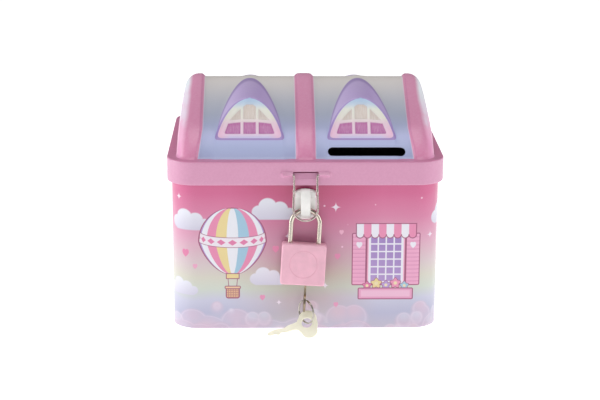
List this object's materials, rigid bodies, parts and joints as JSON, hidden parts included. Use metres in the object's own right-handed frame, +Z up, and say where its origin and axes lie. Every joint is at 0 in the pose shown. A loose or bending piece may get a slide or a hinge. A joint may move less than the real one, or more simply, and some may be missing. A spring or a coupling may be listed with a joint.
{
  "type": "tin money box",
  "caption": "House-shaped tin money box: a hinged ribbed lid with a coin slot, a wire bail and staple at the front, a small hanging padlock and two keys.",
  "frame": {"origin": "centre of the flat base, on the surface the box stands on", "axes": "+X to the right seen from the front (the padlock's side), +Y to the back (the hinge), +Z up"},
  "size_m": [0.125, 0.1185, 0.1091],
  "materials": {
    "body_tin": "printed tinplate under a satin varnish",
    "base_tin": "plain coated tinplate",
    "lid_tin": "printed and embossed tinplate under a satin varnish",
    "hinge_steel": "coated steel strip",
    "staple_plastic": "moulded white plastic",
    "plated_steel": "bright zinc plate",
    "bail_wire": "nickel plated spring wire",
    "shackle_steel": "nickel plated steel",
    "spring_steel": "spring steel",
    "jacket_plastic": "moulded pink plastic",
    "lock_metal": "cast and turned metal",
    "ring_steel": "nickel plated steel",
    "key_metal": "pale brass plated steel"
  },
  "bodies": {
    "tin_body": {"body_shell": "body_tin", "base_panel": "base_tin", "lock_staple": "staple_plastic", "staple_retainer": "plated_steel", "body_hinge_leaf": "hinge_steel"},
    "lid": {"lid_shell": "lid_tin", "lid_hinge_leaf": "hinge_steel", "hinge_pin": "plated_steel"},
    "bail": {"wire_bail": "bail_wire"},
    "padlock": {"lock_jacket": "jacket_plastic", "lock_core": "lock_metal", "lock_bottom_plate": "lock_metal", "heel_pin": "plated_steel", "shackle_spring": "spring_steel", "latch_spring": "spring_steel"},
    "shackle": {"shackle": "shackle_steel"},
    "latch": {"latch": "plated_steel"},
    "key": {"key_plug": "lock_metal", "wafer_1": "key_metal", "wafer_2": "key_metal", "wafer_3": "key_metal", "wafer_4": "key_metal", "plug_clip": "spring_steel", "key": "key_metal"},
    "ring": {"key_ring": "ring_steel"},
    "spare_key": {"spare_key": "key_metal"}
  },
  "joints": [
    {"name": "lid_hinge", "type": "hinge", "parent": "tin_body", "child": "lid", "pos_m": [0, 0.0529, 0.0664], "axis": [-1, 0, 0], "range_deg": [0, 100]},
    {"name": "bail_swing", "type": "hinge", "parent": "lid", "child": "bail", "pos_m": [-0.0002, -0.0527, 0.0733], "axis": [-1, 0, 0], "range_deg": [0, 130]},
    {"name": "padlock_swing", "type": "hinge", "parent": "tin_body", "child": "padlock", "pos_m": [0.0002, -0.0523, 0.0571], "axis": [0, 1, 0], "range_deg": [-15, 15]},
    {"name": "key_turn", "type": "hinge", "parent": "padlock", "child": "key", "pos_m": [0.00007, -0.05606, 0.02729], "axis": [0.0576, 0.1251, 0.9905], "range_deg": [0, 90]},
    {"name": "shackle_slide", "type": "slide", "parent": "padlock", "child": "shackle", "axis": [0.0576, 0.1251, 0.9905], "range_m": [0, 0.0042], "deforming": ["shackle_spring"]},
    {"name": "latch_slide", "type": "slide", "parent": "padlock", "child": "latch", "axis": [-0.9983, 0.0072, 0.0571], "range_m": [0, 0.0013], "deforming": ["latch_spring"]},
    {"name": "ring_swing", "type": "hinge", "parent": "key", "child": "ring", "pos_m": [-0.00062, -0.05747, 0.01621], "axis": [-0.567, 0.7805, -0.2633], "range_deg": [0, 35]},
    {"name": "spare_key_swing", "type": "hinge", "parent": "ring", "child": "spare_key", "pos_m": [0.0002, -0.0586, 0.0058], "axis": [-0.5878, 0.809, 0], "range_deg": [0, 40]}
  ],
  "couplings": [
    {"joint": "key_turn", "follows": "shackle_slide", "rad_per_m": 373.99},
    {"joint": "latch_slide", "follows": "shackle_slide", "ratio": 0.3095}
  ]
}
